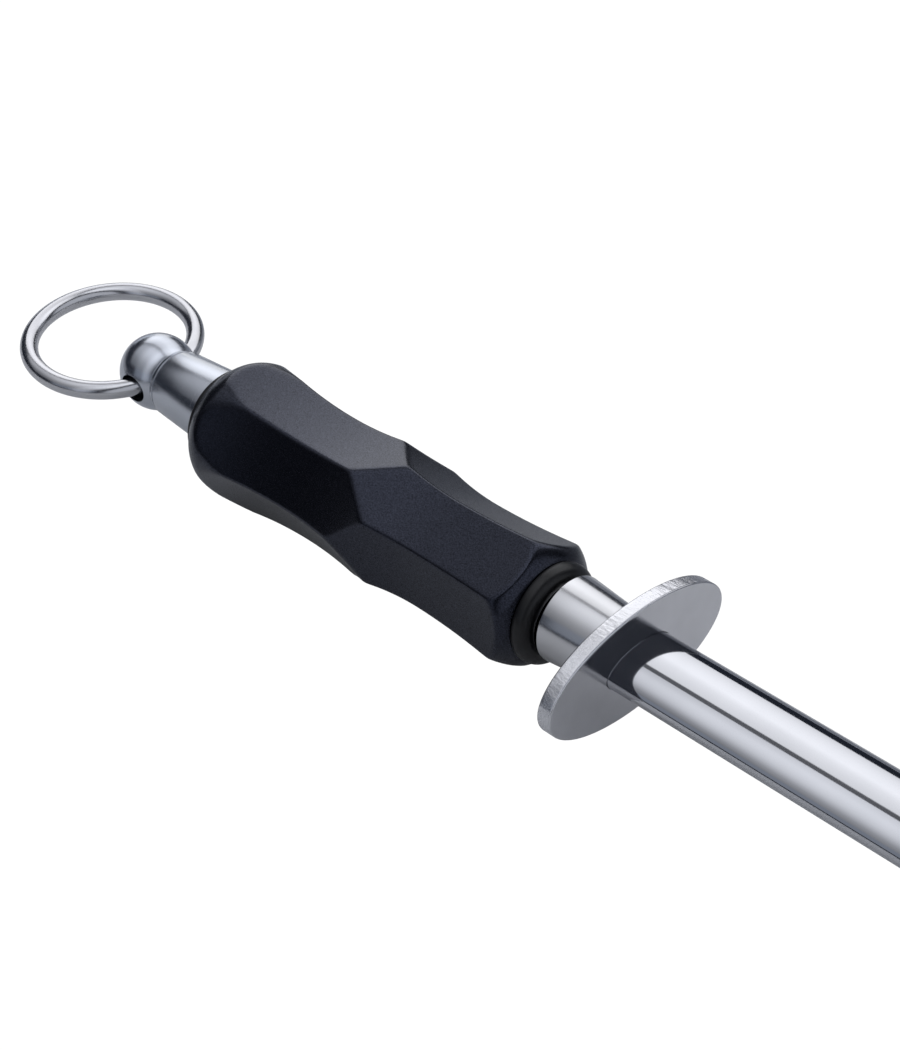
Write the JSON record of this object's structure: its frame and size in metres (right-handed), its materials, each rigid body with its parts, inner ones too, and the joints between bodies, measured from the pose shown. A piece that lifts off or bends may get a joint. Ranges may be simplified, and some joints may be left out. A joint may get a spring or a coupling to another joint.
{
  "type": "knife sharpening steel",
  "caption": "Butcher's sharpening steel: polished oval rod, oval guard, bright ferrule, black waisted faceted grip, ball-ended knob and a swinging hanging ring.",
  "frame": {"origin": "centre of the guard's front face, where the rod comes out", "axes": "+X along the rod to its tip; +Y along the long way of the oval guard and rod; +Z along their short way, up when the steel lies flat"},
  "size_m": [0.5114, 0.055, 0.0353],
  "materials": {
    "polished_rod": "mirror polished",
    "guard_steel": "satin, bright rim",
    "ferrule_steel": "fine turned",
    "seal_rubber": "smooth black",
    "grip_plastic": "fine grained black",
    "knob_steel": "turned, semi-gloss",
    "ring_steel": "polished",
    "inner_steel": "plain"
  },
  "bodies": {
    "steel": {"sharpening_rod": "polished_rod", "guard_plate": "guard_steel", "tapered_ferrule": "ferrule_steel", "front_seal_ring": "seal_rubber", "handle_grip": "grip_plastic", "rear_seal_ring": "seal_rubber", "end_knob": "knob_steel", "tang_sleeve": "inner_steel", "clamp_washer": "inner_steel", "disc_spring": "inner_steel", "tang_nut": "inner_steel"},
    "ring": {"hanging_ring": "ring_steel"}
  },
  "joints": [
    {"name": "ring_swing", "type": "hinge", "parent": "steel", "child": "ring", "pos_m": [-0.16655, 0, 0], "axis": [0, 1, 0], "range_deg": [-153, 148]}
  ]
}
